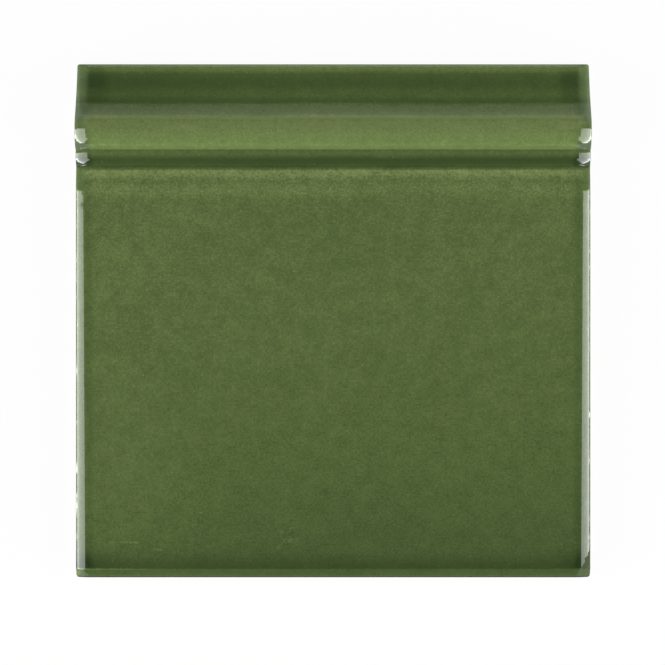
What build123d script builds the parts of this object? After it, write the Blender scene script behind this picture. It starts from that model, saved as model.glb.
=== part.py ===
# Skirting tile: one pressed and glazed ceramic piece, a flat panel with a moulding along its top edge.
# It lies on its back. X runs along the wall, +Y is up the wall and +Z comes out of the glazed face.
# The origin is the middle of the back. Sizes are in millimetres, angles in degrees.
from build123d import *

import os
from math import hypot, radians, sin, sqrt

# Overall sizes
tile_width = 152.0
tile_height = 152.0
panel_thickness = 10.0
lip_thickness = 4.6

# Moulding: each centre line is measured down from the top edge, each crest up from the back
cove_radius = 42.0
bead_from_top = 20.1
bead_crest = 15.5
bead_radius = 6.0
quirk_fillet = 0.4
roll_from_top = 26.6
roll_crest = 11.5
roll_radius = 4.7
roll_foot_fillet = 0.5
dish_from_top = 37.8
dish_radius = 50.0

# Edges: each end turns down in a slow bend and then a tight nose, the foot is bevelled, the lip rounded
end_bend_radius = 5.6
end_bend_angle = 45.0
end_nose_radius = 0.4
end_nose_angle = 38.0
foot_bevel_width = 2.8
foot_bevel_drop = 2.2
foot_bevel_fillet = 0.4
lip_round = 1.6
back_chamfer = 0.6

# Keying grooves pressed into the back
groove_width = 6.0
groove_depth = 0.8
groove_pitch = 15.0
groove_count = 8
groove_end_margin = 10.0
groove_draft = 20.0


def circle_crossing(centre_a, radius_a, centre_b, radius_b, side):
    # Where two circles cross: side 1 is left of the way from a to b, side -1 is right of it.
    across = centre_b - centre_a
    distance = hypot(across.X, across.Y)
    along = (radius_a**2 - radius_b**2 + distance**2) / (2 * distance)
    aside = side * sqrt(radius_a**2 - along**2)
    unit = across / distance
    return centre_a + unit * along + Vector(-unit.Y, unit.X) * aside


def short_arc(centre, radius, start, end):
    # The shorter arc of a circle between two of its points.
    towards = (start - centre) + (end - centre)
    return ThreePointArc(start, centre + towards.normalized() * radius, end)


def draw_section():
    # The section across the tile: x is the height up the wall, y is the thickness.
    top = tile_height / 2
    lip = Vector(top, lip_thickness)
    bead = Vector(top - bead_from_top, bead_crest - bead_radius)
    roll = Vector(top - roll_from_top, roll_crest - roll_radius)
    dish = Vector(top - dish_from_top, panel_thickness - dish_radius)
    # The cove springs from the lip and touches the bead without a break.
    cove = circle_crossing(bead, bead_radius + cove_radius, lip, cove_radius, 1)

    bead_start = bead + (cove - bead).normalized() * bead_radius
    quirk = circle_crossing(bead, bead_radius, roll, roll_radius, -1)
    roll_foot = circle_crossing(roll, roll_radius, dish, dish_radius, -1)
    dish_start = dish + Vector(0, dish_radius)
    bevel_low = Vector(-top, panel_thickness - foot_bevel_drop)
    bevel_high = Vector(foot_bevel_width - top, panel_thickness)

    with BuildSketch() as section:
        with BuildLine():
            Polyline(lip, (top, 0), (-top, 0), bevel_low, bevel_high, dish_start)
            short_arc(dish, dish_radius, dish_start, roll_foot)
            short_arc(roll, roll_radius, roll_foot, quirk)
            short_arc(bead, bead_radius, quirk, bead_start)
            short_arc(cove, cove_radius, bead_start, lip)
        make_face()
        fillet(section.vertices().sort_by_distance(quirk)[0], quirk_fillet)
        fillet(section.vertices().sort_by_distance(roll_foot)[0], roll_foot_fillet)
        fillet(section.vertices().sort_by_distance(lip)[0], lip_round)
        fillet(section.vertices().sort_by_distance(bevel_low)[0], foot_bevel_fillet)
        fillet(section.vertices().sort_by_distance(bevel_high)[0], foot_bevel_fillet)
    return section.sketch


def draw_run():
    # The way from the middle of the tile along the wall to its end: level, then the bend and the nose.
    bent = sin(radians(end_bend_angle))
    turned = sin(radians(end_bend_angle + end_nose_angle))
    reach = end_bend_radius * bent + end_nose_radius * (turned - bent)
    with BuildLine(Plane.XZ) as run:
        level = Line((0, 0), (tile_width / 2 - reach, 0))
        bend = JernArc(level @ 1, (1, 0), end_bend_radius, -end_bend_angle)
        JernArc(bend @ 1, bend % 1, end_nose_radius, -end_nose_angle)
    return run.wire()


def press_blank():
    # The section keeps upright on its way, so the face drops at the end and the back is then cut level.
    half = sweep(Plane.YZ * draw_section(), path=draw_run(), normal=(1, 0, 0))
    half = split(half, bisect_by=Plane.XY, keep=Keep.TOP)
    return half + mirror(half, about=Plane.YZ)


def cut_grooves(tile):
    # Parallel grooves hold the adhesive and leave a land along the middle of the back.
    length = tile_width - 2 * groove_end_margin
    slots = Sketch() + GridLocations(0, groove_pitch, 1, groove_count) * SlotOverall(length, groove_width)
    return tile - extrude(slots, amount=groove_depth, taper=groove_draft)


def make_tile():
    tile = press_blank()
    tile = chamfer(tile.faces().sort_by(Axis.Z)[0].edges(), back_chamfer)
    return cut_grooves(tile)


os.makedirs("parts", exist_ok=True)
export_step(make_tile(), "parts/skirting_tile.step")
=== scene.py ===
import math

import bmesh
import bpy
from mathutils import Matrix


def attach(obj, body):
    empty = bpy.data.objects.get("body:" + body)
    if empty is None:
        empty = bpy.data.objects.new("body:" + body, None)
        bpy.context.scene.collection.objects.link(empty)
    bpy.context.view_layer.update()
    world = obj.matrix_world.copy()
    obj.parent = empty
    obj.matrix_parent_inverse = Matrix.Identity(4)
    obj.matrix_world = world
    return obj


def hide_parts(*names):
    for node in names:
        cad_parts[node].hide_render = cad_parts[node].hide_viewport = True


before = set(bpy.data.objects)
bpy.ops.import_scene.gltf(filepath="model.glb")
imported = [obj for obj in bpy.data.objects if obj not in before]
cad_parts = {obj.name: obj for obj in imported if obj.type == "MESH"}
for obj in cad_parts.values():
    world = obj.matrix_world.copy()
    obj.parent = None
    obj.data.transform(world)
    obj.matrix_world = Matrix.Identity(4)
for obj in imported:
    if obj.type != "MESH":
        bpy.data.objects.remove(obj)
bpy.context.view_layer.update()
print("frame loaded:", sorted(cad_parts))


class Wire:
    # a node socket that works in sums: each sum adds its Math node to the same tree
    def __init__(self, tree, socket=None):
        self.tree = tree
        self.socket = socket

    def node(self, kind, settings=None, sockets=None, out=0):
        made = self.tree.nodes.new(kind)
        for name, value in (settings or {}).items():
            if name == "stops":
                self.setStops(made.color_ramp, value)
            else:
                setattr(made, name, value)
        for key, value in (sockets or {}).items():
            for item in value if isinstance(value, list) else [value]:
                if isinstance(item, Wire):
                    self.tree.links.new(item.socket, made.inputs[key])
                else:
                    made.inputs[key].default_value = item
        return Wire(self.tree, made.outputs[out]) if made.outputs else None

    def setStops(self, ramp, stops):
        while len(ramp.elements) < len(stops):
            ramp.elements.new(1.0)
        for element, (position, colour) in zip(ramp.elements, stops):
            element.position = position
            element.color = (*colour, 1.0)

    def output(self, name):
        return Wire(self.tree, self.socket.node.outputs[name])

    def math(self, operation, first, *rest, clamp=False):
        settings = {"operation": operation, "use_clamp": clamp}
        return self.node("ShaderNodeMath", settings, dict(enumerate((first, *rest))))

    def __add__(self, other): return self.math("ADD", self, other)
    def __radd__(self, other): return self.math("ADD", other, self)
    def __sub__(self, other): return self.math("SUBTRACT", self, other)
    def __rsub__(self, other): return self.math("SUBTRACT", other, self)
    def __mul__(self, other): return self.math("MULTIPLY", self, other)
    def __rmul__(self, other): return self.math("MULTIPLY", other, self)
    def __truediv__(self, other): return self.math("DIVIDE", self, other)
    def __pow__(self, other): return self.math("POWER", self, other)
    def __abs__(self): return self.math("ABSOLUTE", self)
    def __gt__(self, other): return self.math("GREATER_THAN", self, other)

    def sqrt(self): return self.math("SQRT", self)
    def sin(self): return self.math("SINE", self)
    def cos(self): return self.math("COSINE", self)
    def floor(self): return self.math("FLOOR", self)
    def sign(self): return self.math("SIGN", self)
    def atLeast(self, other): return self.math("MAXIMUM", self, other)
    def atMost(self, other): return self.math("MINIMUM", self, other)
    def clamped(self): return self.math("ADD", self, 0.0, clamp=True)

    def ease(self, low, high):
        # 0 below low, 1 above high, smooth between
        sockets = {0: self, 1: low, 2: high, 3: 0.0, 4: 1.0}
        return self.node("ShaderNodeMapRange", {"interpolation_type": "SMOOTHSTEP"}, sockets)

    def band(self, a, b, c, d):
        # rises from a to b, falls from c to d
        return self.ease(a, b) * (1 - self.ease(c, d))


# the pressed tile, sizes in metres
tileSizes = {
    "width": 0.152,
    "height": 0.152,
    "panel thickness": 0.010,
    "lip thickness": 0.0046,
    "cove radius": 0.042,
    "bead radius": 0.0060,
    "bead crest": 0.0155,
    "bead from top": 0.0201,
    "roll radius": 0.0047,
    "roll crest": 0.0115,
    "roll from top": 0.0266,
    "dish radius": 0.050,
    "dish from top": 0.0378,
    "end round": 0.0056,  # the slow bend along each end, then a tight nose down to the wall
    "end bend": math.radians(45),
    "nose round": 0.0004,
    "nose bend": math.radians(38),
    "moulding swell": 0.74,  # how much slower the end bends across the roll and the bead
    "moulding bend": math.radians(-5),  # and how much less far
    "foot swell": 0.27,  # how much slower the end bends at the foot than below the moulding
    "lip round": 0.0026,
    "crease round": 0.0005,  # the foot is bevelled: a tight crease, then a nearly flat slope
    "crease bend": math.radians(36),
    "bevel round": 0.021,
    "bevel bend": math.radians(9),
    "corner round": 0.0007,
    "waviness": 0.00003,
    "back chamfer": 0.0006,
    "groove width": 0.006,
    "groove depth": 0.0008,
    "groove draft": 0.0003,
    "groove pitch": 0.015,
    "groove margin": 0.010,
    "groove count": 8,
}
tileMesh = {"bendSteps": 12, "tuckSteps": 4, "acrossSteps": 90, "panelSteps": 70, "dishSteps": 24, "rollSteps": 40,
            "coveSteps": 120, "grooveEndSteps": 10, "waveScale": 55.0, "mergeDistance": 1e-6,
            "creaseAngle": math.radians(35)}


def circleCrossing(first, second):
    # where two circles (y, z, radius) cross, to the left of the way from the first to the second
    awayY = second[0] - first[0]
    awayZ = second[1] - first[1]
    away = (awayY * awayY + awayZ * awayZ).sqrt()
    along = (first[2] * first[2] - second[2] * second[2] + away * away) / (2 * away)
    aside = (first[2] * first[2] - along * along).sqrt()
    return first[0] + (awayY * along - awayZ * aside) / away, first[1] + (awayZ * along + awayY * aside) / away


def drawSection(size):
    # the rounds of the moulding as circles, and where one hands over to the next up the wall
    top = size["height"] * 0.5
    bead = top - size["bead from top"], size["bead crest"] - size["bead radius"], size["bead radius"]
    roll = top - size["roll from top"], size["roll crest"] - size["roll radius"], size["roll radius"]
    dish = top - size["dish from top"], size["panel thickness"] - size["dish radius"], size["dish radius"]
    reach = size["bead radius"] + size["cove radius"]
    lip = top, size["lip thickness"], size["cove radius"]
    cove = *circleCrossing((bead[0], bead[1], reach), lip), size["cove radius"]
    places = {"dish": dish[0],
              "foot": circleCrossing(dish, roll)[0],
              "quirk": circleCrossing(roll, bead)[0],
              "brow": bead[0] + size["bead radius"] * (cove[0] - bead[0]) / reach}
    return {"dish": dish, "roll": roll, "bead": bead, "cove": cove}, places


def sectionHeight(rounds, places, y):
    # height of the face above the back, for a place y up the wall
    def onCircle(name, side):
        centreY, centreZ, radius = rounds[name]
        return centreZ + (radius * radius - (y - centreY) * (y - centreY)).atLeast(0.0).sqrt() * side

    height = rounds["dish"][1] + rounds["dish"][2]
    for start, name, side in (("dish", "dish", 1), ("foot", "roll", 1), ("quirk", "bead", 1), ("brow", "cove", -1)):
        height = height + (onCircle(name, side) - height) * (y > places[start])
    return height


def buildTileTree(glaze):
    tree = bpy.data.node_groups.new("pressedTile", "GeometryNodeTree")
    sockets = {}
    for name, value in tileSizes.items():
        kind = "NodeSocketInt" if isinstance(value, int) else "NodeSocketFloat"
        sockets[name] = tree.interface.new_socket(name=name, in_out="INPUT", socket_type=kind)
    tree.interface.new_socket(name="tile", in_out="OUTPUT", socket_type="NodeSocketGeometry")
    net = Wire(tree)
    inlet = net.node("NodeGroupInput")
    size = {name: inlet.output(name) for name in tileSizes}

    # a grid whose lines crowd into the rounded edges and the moulding
    tucks = tileMesh["tuckSteps"]
    ends = tucks + tileMesh["bendSteps"]
    columns = 2 * ends + tileMesh["acrossSteps"]
    rounds, places = drawSection(size)
    stretches = ("panelSteps", "dishSteps", "rollSteps", "coveSteps")
    rows = 2 * ends + sum(tileMesh[stretch] for stretch in stretches)
    grid = net.node("GeometryNodeMeshGrid", None, {0: 1.0, 1: 1.0, 2: columns + 1, 3: rows + 1})
    place = net.node("ShaderNodeSeparateXYZ", None, {0: net.node("GeometryNodeInputPosition")})
    column = (place.output("X") + 0.5) * columns
    row = (place.output("Y") + 0.5) * rows

    def edge(first, firstBend, second, secondBend, steps):
        # an edge of two arcs, for grid lines counted from its outermost one: out, down, and its whole reach
        def arcs(bend, more):
            out = size[first] * bend.sin() + size[second] * ((bend + more).sin() - bend.sin())
            down = size[first] * (1 - bend.cos()) + size[second] * (bend.cos() - (bend + more).cos())
            return out, down

        bend = (1 - (steps - tucks) / tileMesh["bendSteps"]).clamped() * size[firstBend]
        more = (1 - steps / tucks).clamped() * size[secondBend]
        return *arcs(bend, more), arcs(size[firstBend], size[secondBend])[0]

    top = size["height"] * 0.5
    footOut, footDown, footReach = edge("crease round", "crease bend", "bevel round", "bevel bend", row)
    lipOut, lipDown, lipReach = edge("lip round", "end bend", "nose round", "nose bend", rows - row)
    y = lipOut - footOut + footReach - top
    line = footReach - top
    begun = ends
    for stretch, finish in zip(stretches, (places["dish"], places["foot"], places["quirk"], top - lipReach)):
        y = y + ((row - begun) / tileMesh[stretch]).clamped() * (finish - line)
        begun, line = begun + tileMesh[stretch], finish

    halfWidth = size["width"] * 0.5
    swell = y.band(places["dish"], places["foot"], places["quirk"], places["brow"] + size["bead radius"])
    low = ((places["dish"] - y) / (places["dish"] + top)).clamped()
    size["swollen end"] = size["end round"] * (1 + swell * size["moulding swell"] + low * size["foot swell"])
    size["swollen bend"] = size["end bend"] + swell * size["moulding bend"]
    leftOut, leftDown, endReach = edge("swollen end", "swollen bend", "nose round", "nose bend", column)
    rightOut, rightDown, endReach = edge("swollen end", "swollen bend", "nose round", "nose bend", columns - column)
    across = ((column - ends) / tileMesh["acrossSteps"]).clamped()
    x = rightOut - leftOut + (across * 2 - 1) * (halfWidth - endReach)
    drop = (leftDown + rightDown).atLeast(lipDown) + footDown
    flat = net.node("ShaderNodeCombineXYZ", None, {0: x, 1: y})
    wave = net.node("ShaderNodeTexNoise", None, {"Vector": flat, "Scale": tileMesh["waveScale"], "Detail": 1.0}, "Fac")
    z = sectionHeight(rounds, places, y) - drop - wave * size["waviness"]
    shaped = net.node("ShaderNodeCombineXYZ", None, {0: x, 1: y, 2: z})
    face = net.node("GeometryNodeSetPosition", None, {"Geometry": grid, "Position": shaped})

    # walls down to the chamfer, then in to the edge of the back
    spot = net.node("ShaderNodeSeparateXYZ", None, {0: net.node("GeometryNodeInputPosition")})
    rim = net.math("COMPARE", net.node("GeometryNodeInputMeshEdgeNeighbors"), 1.0, 0.1)
    walls = net.node("GeometryNodeExtrudeMesh", {"mode": "EDGES"},
                     {"Mesh": face, "Selection": rim, "Offset Scale": 0.0})
    wallFoot = net.node("ShaderNodeCombineXYZ", None,
                        {0: spot.output("X"), 1: spot.output("Y"), 2: size["back chamfer"]})
    walled = net.node("GeometryNodeSetPosition", None,
                      {"Geometry": walls, "Selection": walls.output("Top"), "Position": wallFoot})
    chamfer = net.node("GeometryNodeExtrudeMesh", {"mode": "EDGES"},
                       {"Mesh": walled, "Selection": walls.output("Top"), "Offset Scale": 0.0})
    shrink = 1 - size["back chamfer"] / halfWidth
    backEdge = net.node("ShaderNodeCombineXYZ", None, {0: spot.output("X") * shrink, 1: spot.output("Y") * shrink})
    shell = net.node("GeometryNodeSetPosition", None,
                     {"Geometry": chamfer, "Selection": chamfer.output("Top"), "Position": backEdge})

    # plan corners eased: a point past the corner circle is drawn back on to it
    pastX = (abs(spot.output("X")) - halfWidth + size["corner round"]).atLeast(0.0)
    pastY = (abs(spot.output("Y")) - top + size["corner round"]).atLeast(0.0)
    past = (pastX * pastX + pastY * pastY).sqrt().atLeast(1e-9)
    back = 1 - (size["corner round"] / past).atMost(1.0)
    ease = net.node("ShaderNodeCombineXYZ", None,
                    {0: pastX * back * spot.output("X").sign() * -1, 1: pastY * back * spot.output("Y").sign() * -1})
    shell = net.node("GeometryNodeSetPosition", None, {"Geometry": shell, "Offset": ease})

    # the back with its keying grooves
    outline = net.node("GeometryNodeMeshToCurve", None, {"Mesh": shell, "Selection": chamfer.output("Top")})
    grooveLength = size["width"] - 2 * size["groove margin"]
    bar = net.node("GeometryNodeCurvePrimitiveQuadrilateral", None, {0: grooveLength, 1: size["groove width"]})
    bar = net.node("GeometryNodeFilletCurve", {"mode": "POLY"},
                   {"Curve": bar, "Count": tileMesh["grooveEndSteps"],
                    "Radius": size["groove width"] * 0.4999, "Limit Radius": True})  # just short of a half circle
    firstY = (size["groove count"] - 1) * size["groove pitch"] * -0.5
    start = net.node("ShaderNodeCombineXYZ", None, {1: firstY})
    step = net.node("ShaderNodeCombineXYZ", None, {1: size["groove pitch"]})
    line = net.node("GeometryNodeMeshLine", {"mode": "OFFSET"},
                    {"Count": size["groove count"], "Start Location": start, "Offset": step})
    bars = net.node("GeometryNodeInstanceOnPoints", None, {"Points": line, "Instance": bar})
    bars = net.node("GeometryNodeRealizeInstances", None, {0: bars})
    land = net.node("GeometryNodeFillCurve", {"mode": "TRIANGLES"},
                    {0: net.node("GeometryNodeJoinGeometry", None, {0: [outline, bars]})})
    floors = net.node("GeometryNodeFillCurve", {"mode": "NGONS"}, {0: bars})
    up = net.node("ShaderNodeCombineXYZ", None, {2: size["groove depth"]})
    grooves = net.node("GeometryNodeExtrudeMesh", {"mode": "FACES"},
                       {"Mesh": floors, "Offset": up, "Individual": False})
    grooveY = ((spot.output("Y") - firstY) / size["groove pitch"] + 0.5).floor() * size["groove pitch"] + firstY
    draft = net.node("ShaderNodeCombineXYZ", None,
                     {0: spot.output("X").sign() * size["groove draft"] * -1,
                      1: (spot.output("Y") - grooveY) * size["groove draft"] / size["groove width"] * -2})
    grooves = net.node("GeometryNodeSetPosition", None,
                       {"Geometry": grooves, "Selection": grooves.output("Top"), "Offset": draft})
    under = net.node("GeometryNodeFlipFaces", None,
                     {0: net.node("GeometryNodeJoinGeometry", None, {0: [land, grooves]})})

    whole = net.node("GeometryNodeJoinGeometry", None, {0: [shell, under]})
    whole = net.node("GeometryNodeMergeByDistance", None, {"Geometry": whole, "Distance": tileMesh["mergeDistance"]})
    crease = net.node("GeometryNodeInputMeshEdgeAngle") > tileMesh["creaseAngle"]
    whole = net.node("GeometryNodeSetShadeSmooth", {"domain": "EDGE"}, {0: whole, 1: crease, 2: False})
    whole = net.node("GeometryNodeRealizeInstances", None, {0: whole})
    whole = net.node("GeometryNodeSetMaterial", None, {"Geometry": whole, "Material": glaze})
    net.node("NodeGroupOutput", None, {0: whole})
    return tree, sockets


def makeTile(glaze):
    tile = bpy.data.objects.new("skirtingTile", bpy.data.meshes.new("skirtingTile"))
    bpy.context.scene.collection.objects.link(tile)
    tree, sockets = buildTileTree(glaze)
    press = tile.modifiers.new("press", "NODES")
    press.node_group = tree
    for name, value in tileSizes.items():
        press[sockets[name].identifier] = value
    graph = bpy.context.evaluated_depsgraph_get()
    mesh = bpy.data.meshes.new_from_object(tile.evaluated_get(graph))
    tile.modifiers.clear()
    tile.data = mesh
    work = bmesh.new()
    work.from_mesh(mesh)
    bmesh.ops.recalc_face_normals(work, faces=work.faces)
    openEdges = sum(1 for edge in work.edges if not edge.is_manifold)
    work.to_mesh(mesh)
    work.free()
    print("tile pressed:", len(mesh.polygons), "faces,", openEdges, "open edges")
    return tile


# the fired glaze: colours in linear light, places on the tile in millimetres, noise scales per metre
glazeLook = {
    "thinnest": (0.283, 0.364, 0.128),
    "usual": (0.115, 0.165, 0.0515),
    "deepest": (0.018, 0.038, 0.009),
    "depths": (-0.3, 0.5, 1.2),  # the depths these three belong to
    "cove tint": (0.90, 1.0, 0.90),
    "clay": (0.56, 0.45, 0.33),
    "worn": (0.040, 0.056, 0.014),
    # a dark line along the foot arris: partly worn glaze, partly painted shade of the edge in shadow
    "arris painted shade": (0.016, 0.013, 0.005),
    "gloss": 0.06,
    "dulled": 0.9,  # how much rougher the clay and the worn glaze are
    "ior": 1.55,
    "ripple": {"Strength": 0.15, "Distance": 0.0005},
    "ripple noise": (250.0, 1.0),
    "drift scale": 45.0,
    "drift": (0.6, 1.2),  # how far the layers wander up the wall, and from the ends
    "bulk": 0.525,  # its depth where nothing thickens or thins it
    "run": (30.0, 95.0, 0.28),  # darker towards the foot: from this place down, over this length, by this much
    # where the glaze lies thick (+) or thin (-) up the wall: it starts, is full, begins to ease, has ended
    "layers": {
        "lip": (72.4, 75.5, 80.0, 81.0, -0.74),
        "cove pool": (67.7, 69.6, 70.9, 72.6, 0.07),
        "cove foot": (63.6, 64.3, 64.5, 66.8, 0.23),
        "bead": (51.9, 56.2, 64.5, 70.4, -0.23),
        "brow": (54.9, 58.7, 58.9, 62.3, -0.38),
        "brow line": (58.8, 59.1, 59.3, 60.6, -0.33),
        "quirk line": (50.2, 50.4, 50.7, 51.6, 0.06),
        "quirk pool": (44.5, 46.0, 47.0, 49.9, 0.59),
        "arris": (40.5, 43.8, 44.0, 44.6, -0.50),
        "dish crest": (34.7, 38.5, 38.7, 42.9, -0.16),
        "foot bank": (-90.0, -80.0, -72.8, -67.4, 0.15),
        "foot slope": (-76.0, -75.1, -74.5, -74.0, -0.03),
    },
    "dying out": (1.2, 4.2, 0.1),  # thin layers keep this share at the ends and are whole further in
    # thicker banks along the ends, in the same steps counted from the end
    "end banks": {
        "below the cove": (-2.0, -1.0, 3.2, 6.0, 0.2),
        "cove": (2.4, 4.5, 6.5, 11.0, 0.2),
        "cove edge": (-2.0, -1.0, 1.0, 3.2, 0.02),
        "foot": (-2.0, -1.0, 5.0, 13.0, 0.08),
        "quirk": (-2.0, -1.0, 2.5, 5.0, 0.25),
    },
    "cove from": (58.5, 61.5),
    "high cove from": (61.5, 66.0),
    "panel from": (-73.6, -73.0),
    "foot bank place": (-73.4, -72.6, -70.5, -66.0),
    "quirk bank place": (50.0, 50.4, 51.6, 53.0),
    # the left side is thinner, more so low down, but thicker high up
    "left side": {"across": (-62.0, -22.0), "thinner": 0.04, "low": (-72.0, -62.0, -60.0, -20.0), "low thinner": 0.09,
                  "high": (46.0, 66.0), "high thicker": 0.15},
    "left corner": {"x": (-72.6, -75.6), "y": (-73.0, -73.8), "scale": 350.0, "amount": 0.5},
    "left crease": {"x": (-50.0, -64.0), "y": (-73.8, -73.5, -73.3, -73.0), "scale": 300.0, "amount": 0.4},
    "pinholes": {"scale": 170.0, "size": (0.050, 0.015), "patch scale": 90.0, "patches": (0.4, 0.6), "amount": 0.28},
    "scuffs": [(-68.5, -56.5, -65.8, 0.02), (-54.0, -49.5, -67.5, -0.06)],  # from x, to x, at y, lean
    "scuff": {"width": (0.28, 0.06), "wobble scale": 120.0, "wobble": 1.2,
              "grain scale": 420.0, "grain": (0.42, 0.6), "amount": 0.36},
    "rubbed": {"x": (-20.0, -15.0, -13.0, -9.0), "y": (-70.0, -66.0, -63.0, -57.0),
               "scale": 500.0, "grain": (0.52, 0.66), "amount": 0.2},
    "mottle drift": 0.14,
    "mottle": [(260.0, 2.0, 0.35), (700.0, 2.0, 0.37), (1700.0, 0.0, 0.52)],  # noise scale, detail, amount
    "calmer": (40.0, 56.0, 0.5),  # the share of the mottle lost on the moulding
    "bare": {"below": (3.4, 2.8), "lip": (64.0, 76.0), "lip lower": 1.6, "scale": 160.0, "ragged": 4.0},
    "wear": {"height": (6.7, 7.3), "end": (4.0, 0.0), "end drop": 2.0, "arris": (-75.5, -75.75),
             "corner": (-65.2, -66.6), "corner x": 75.1, "corner y": -68.8, "slant": 0.47, "outermost": 75.5,
             "scale": 700.0, "ragged": 1.4, "fade": 0.25},
}


def makeGlaze():
    look = glazeLook
    glaze = bpy.data.materials.new("greenGlaze")
    glaze.use_nodes = True
    tree = glaze.node_tree
    tree.nodes.clear()
    net = Wire(tree)
    place = net.node("ShaderNodeTexCoord", out="Object")
    axes = net.node("ShaderNodeSeparateXYZ", None, {0: place})
    x = axes.output("X") * 1000
    y = axes.output("Y") * 1000
    z = axes.output("Z") * 1000

    def noise(scale, detail=2.0):
        return net.node("ShaderNodeTexNoise", None, {"Vector": place, "Scale": scale, "Detail": detail}, "Fac")

    def swing(scale, detail=2.0):
        return noise(scale, detail) - 0.5  # noise about nought

    def mixColour(share, under, over, blend="MIX"):
        sockets = {0: share, 6: under, 7: (*over, 1.0)}
        return net.node("ShaderNodeMix", {"data_type": "RGBA", "blend_type": blend}, sockets, 2)

    drift = swing(look["drift scale"])
    upWall, fromEnds = look["drift"]
    wander = y + drift * upWall
    fromEnd = tileSizes["width"] * 500 - abs(x) + drift * fromEnds
    # the colour grows darker towards the foot, from the given place down
    runFrom, runOver, darkening = look["run"]
    depth = look["bulk"] + ((runFrom - y) / runOver).atLeast(0.0) ** 2 * darkening
    near, far, share = look["dying out"]
    inward = share + fromEnd.ease(near, far) * (1 - share)
    for *steps, amount in look["layers"].values():
        layer = wander.band(*steps) * amount
        depth = depth + (layer if amount > 0 else layer * inward)  # thin lines die out at the ends

    inCove = wander.ease(*look["cove from"])
    highCove = wander.ease(*look["high cove from"])
    onPanel = y.ease(*look["panel from"])
    where = {"below the cove": (1 - highCove) * onPanel, "cove": highCove, "cove edge": highCove,
             "foot": wander.band(*look["foot bank place"]), "quirk": y.band(*look["quirk bank place"])}
    for name, (*steps, amount) in look["end banks"].items():
        depth = depth + fromEnd.band(*steps) * where[name] * amount

    # uneven on the left, and nearly gone in the lower left corner and along the crease beside it
    left, corner, crease = look["left side"], look["left corner"], look["left crease"]
    low = y.band(*left["low"]) * left["low thinner"]
    high = y.ease(*left["high"]) * left["high thicker"]
    depth = depth - (1 - x.ease(*left["across"])) * (left["thinner"] + low - high)
    depth = depth - x.ease(*corner["x"]) * y.ease(*corner["y"]) * noise(corner["scale"]) * corner["amount"]
    depth = depth - x.ease(*crease["x"]) * y.band(*crease["y"]) * noise(crease["scale"]) * crease["amount"]

    # pale pinholes, two broken scuffs and a rubbed patch near the foot
    pins, scuff, rubbed = look["pinholes"], look["scuff"], look["rubbed"]
    cell = net.node("ShaderNodeTexVoronoi", {"voronoi_dimensions": "2D"}, {"Vector": place, "Scale": pins["scale"]})
    patches = noise(pins["patch scale"], 0.0).ease(*pins["patches"])
    depth = depth - cell.ease(*pins["size"]) * patches * pins["amount"]
    for startX, endX, atY, lean in look["scuffs"]:
        line = abs(y - atY - (x - startX) * lean + swing(scuff["wobble scale"]) * scuff["wobble"])
        along = x.band(startX, startX + 1, endX - 1, endX)
        grain = noise(scuff["grain scale"]).ease(*scuff["grain"])
        depth = depth - line.ease(*scuff["width"]) * along * grain * scuff["amount"]
    patch = x.band(*rubbed["x"]) * y.band(*rubbed["y"])
    depth = depth - patch * noise(rubbed["scale"]).ease(*rubbed["grain"]) * rubbed["amount"]

    # the mottle shows less the deeper the glaze
    least, usual, most = look["depths"]
    mottle = drift * look["mottle drift"]
    for scale, detail, amount in look["mottle"]:
        mottle = mottle + swing(scale, detail) * amount
    calmFrom, calmTo, calmer = look["calmer"]
    depth = depth + mottle * (1 - wander.ease(calmFrom, calmTo) * calmer) * (most - depth) / (most - usual)
    span = most - least
    stops = [(0.0, look["thinnest"]), ((usual - least) / span, look["usual"]), (1.0, look["deepest"])]
    colour = net.node("ShaderNodeValToRGB", {"stops": stops}, {0: (depth - least) / span}, "Color")
    colour = mixColour(inCove, colour, look["cove tint"], "MULTIPLY")

    # bare clay low on the walls, lower still behind the lip
    bare = look["bare"]
    clay = z + y.ease(*bare["lip"]) * bare["lip lower"] + swing(bare["scale"]) * bare["ragged"]
    clay = clay.ease(*bare["below"])
    skin = mixColour(clay, colour, look["clay"])

    # the lower right corner is worn dull; the foot arris is dulled and painted dark, partly worn glaze showing the
    # body and partly painted shade of the edge in shadow
    wear = look["wear"]
    upper = (z + fromEnd.ease(*wear["end"]) * wear["end drop"]).ease(*wear["height"])
    arris = y.ease(*wear["arris"]) * upper
    wornFrom = (wear["corner x"] + (y - wear["corner y"]) * wear["slant"]).atMost(wear["outermost"])
    ragged = swing(wear["scale"]) * wear["ragged"]
    worn = (x - wornFrom + ragged).ease(0.0, wear["fade"]) * y.ease(*wear["corner"]) * upper
    skin = mixColour(worn * onPanel, skin, look["worn"])
    # painted shade: a dark line along the foot arris, partly worn glaze showing the body
    skin = mixColour(arris, skin, look["arris painted shade"])
    sheen = look["gloss"] + clay.atLeast(worn).atLeast(arris) * look["dulled"]
    ripple = net.node("ShaderNodeBump", None, {**look["ripple"], "Height": noise(*look["ripple noise"])})
    body = net.node("ShaderNodeBsdfPrincipled", None,
                    {"Base Color": skin, "Roughness": sheen, "IOR": look["ior"], "Normal": ripple})
    net.node("ShaderNodeOutputMaterial", None, {"Surface": body})
    print("glaze mixed")
    return glaze


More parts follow.
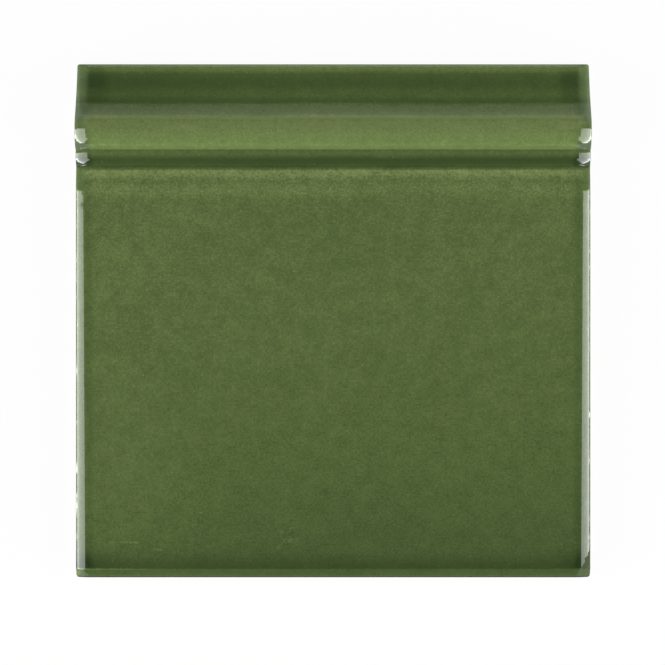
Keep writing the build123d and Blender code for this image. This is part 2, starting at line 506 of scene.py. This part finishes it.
# the studio: a softbox each side of the tile, brighter low down, a white table, a pale far wall and corners
studio = {
    "boxDistance": 0.81,
    "boxAlong": (-1.2, 0.09),
    # each tier of a softbox: its lower height, its upper height, how bright it is
    "boxTiers": [(0.01, 0.07, 22.0), (0.07, 0.14, 9.0), (0.14, 0.28, 6.3),
                 (0.28, 0.43, 5.0), (0.43, 0.62, 4.3), (0.62, 0.86, 4.2)],
    "leftShare": 1.02,  # the left softbox against the right one
    "room": 0.065,
    "wall": 0.48,
    "wallTop": (0.15, 0.25),
    "wallFrom": (-0.1, 0.1),
    "corners": 0.48,
    "cornerFrom": (0.0, 0.7),
    "cornerWide": (0.08, 0.5),
    "tableHalf": 3.0,
    "tableLevel": -0.00005,  # a hair below the back of the tile
    "tableGlow": 0.96,
    "paper": (0.92, 0.92, 0.92, 1.0),
    "white": (1.0, 1.0, 1.0, 1.0),
}


def lightStudio():
    near, far = studio["boxAlong"]
    for name, side, share in (("leftSoftbox", -1, studio["leftShare"]), ("rightSoftbox", 1, 1.0)):
        for low, high, glow in studio["boxTiers"]:
            lamp = bpy.data.lights.new(name, "AREA")
            lamp.shape = "RECTANGLE"
            lamp.size, lamp.size_y = high - low, far - near
            lamp.energy = glow * share * math.pi * lamp.size * lamp.size_y
            box = bpy.data.objects.new(name, lamp)
            box.location = (side * studio["boxDistance"], (near + far) / 2, (low + high) / 2)
            box.rotation_euler = (0.0, side * math.radians(90), 0.0)
            bpy.context.scene.collection.objects.link(box)
    world = bpy.data.worlds.new("studioRoom")
    bpy.context.scene.world = world
    world.use_nodes = True
    world.node_tree.nodes.clear()
    net = Wire(world.node_tree)
    aim = net.node("ShaderNodeSeparateXYZ", None, {0: net.node("ShaderNodeTexCoord", out="Generated")})
    onWall = (1 - aim.output("Z").ease(*studio["wallTop"])) * aim.output("Y").ease(*studio["wallFrom"])
    inCorner = aim.output("Y").ease(*studio["cornerFrom"]) * abs(aim.output("X")).ease(*studio["cornerWide"])
    level = (studio["room"] + onWall * studio["wall"]).atLeast(inCorner * studio["corners"])
    sky = net.node("ShaderNodeBackground", None, {"Color": studio["white"], "Strength": level})
    net.node("ShaderNodeOutputWorld", None, {"Surface": sky})

    half, height = studio["tableHalf"], studio["tableLevel"]
    corners = [(-half, -half, height), (half, -half, height), (half, half, height), (-half, half, height)]
    mesh = bpy.data.meshes.new("whiteTable")
    mesh.from_pydata(corners, [], [(0, 1, 2, 3)])
    table = bpy.data.objects.new("whiteTable", mesh)
    bpy.context.scene.collection.objects.link(table)
    paper = bpy.data.materials.new("whitePaper")
    paper.use_nodes = True
    paper.node_tree.nodes.clear()
    net = Wire(paper.node_tree)
    path = net.node("ShaderNodeLightPath")
    seen = path.output("Is Camera Ray").atLeast(path.output("Is Glossy Ray"))
    seen = seen.atLeast(path.output("Is Transmission Ray"))
    matt = net.node("ShaderNodeBsdfDiffuse", None, {"Color": studio["paper"]})
    glow = net.node("ShaderNodeEmission", None, {"Color": studio["white"], "Strength": 1.0})
    mixed = net.node("ShaderNodeMixShader", None, {0: seen * studio["tableGlow"], 1: matt, 2: glow})
    net.node("ShaderNodeOutputMaterial", None, {"Surface": mixed})
    mesh.materials.append(paper)
    print("studio lit")


# straight down, nearly over the middle of the tile
viewpoint = {"x": -0.00019, "y": -0.00365, "height": 0.9076, "lens": 164.84}


def placeCamera():
    camera = bpy.data.objects.new("photoCamera", bpy.data.cameras.new("photoCamera"))
    camera.location = (viewpoint["x"], viewpoint["y"], viewpoint["height"])
    camera.data.lens = viewpoint["lens"]
    camera.data.sensor_width = 36.0
    camera.data.clip_start = 0.01
    bpy.context.scene.collection.objects.link(camera)
    bpy.context.scene.camera = camera
    print("camera placed")


bpy.context.scene.view_settings.view_transform = "Standard"
placeCamera()
lightStudio()
tile = makeTile(makeGlaze())
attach(tile, "root")
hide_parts("skirting_tile")
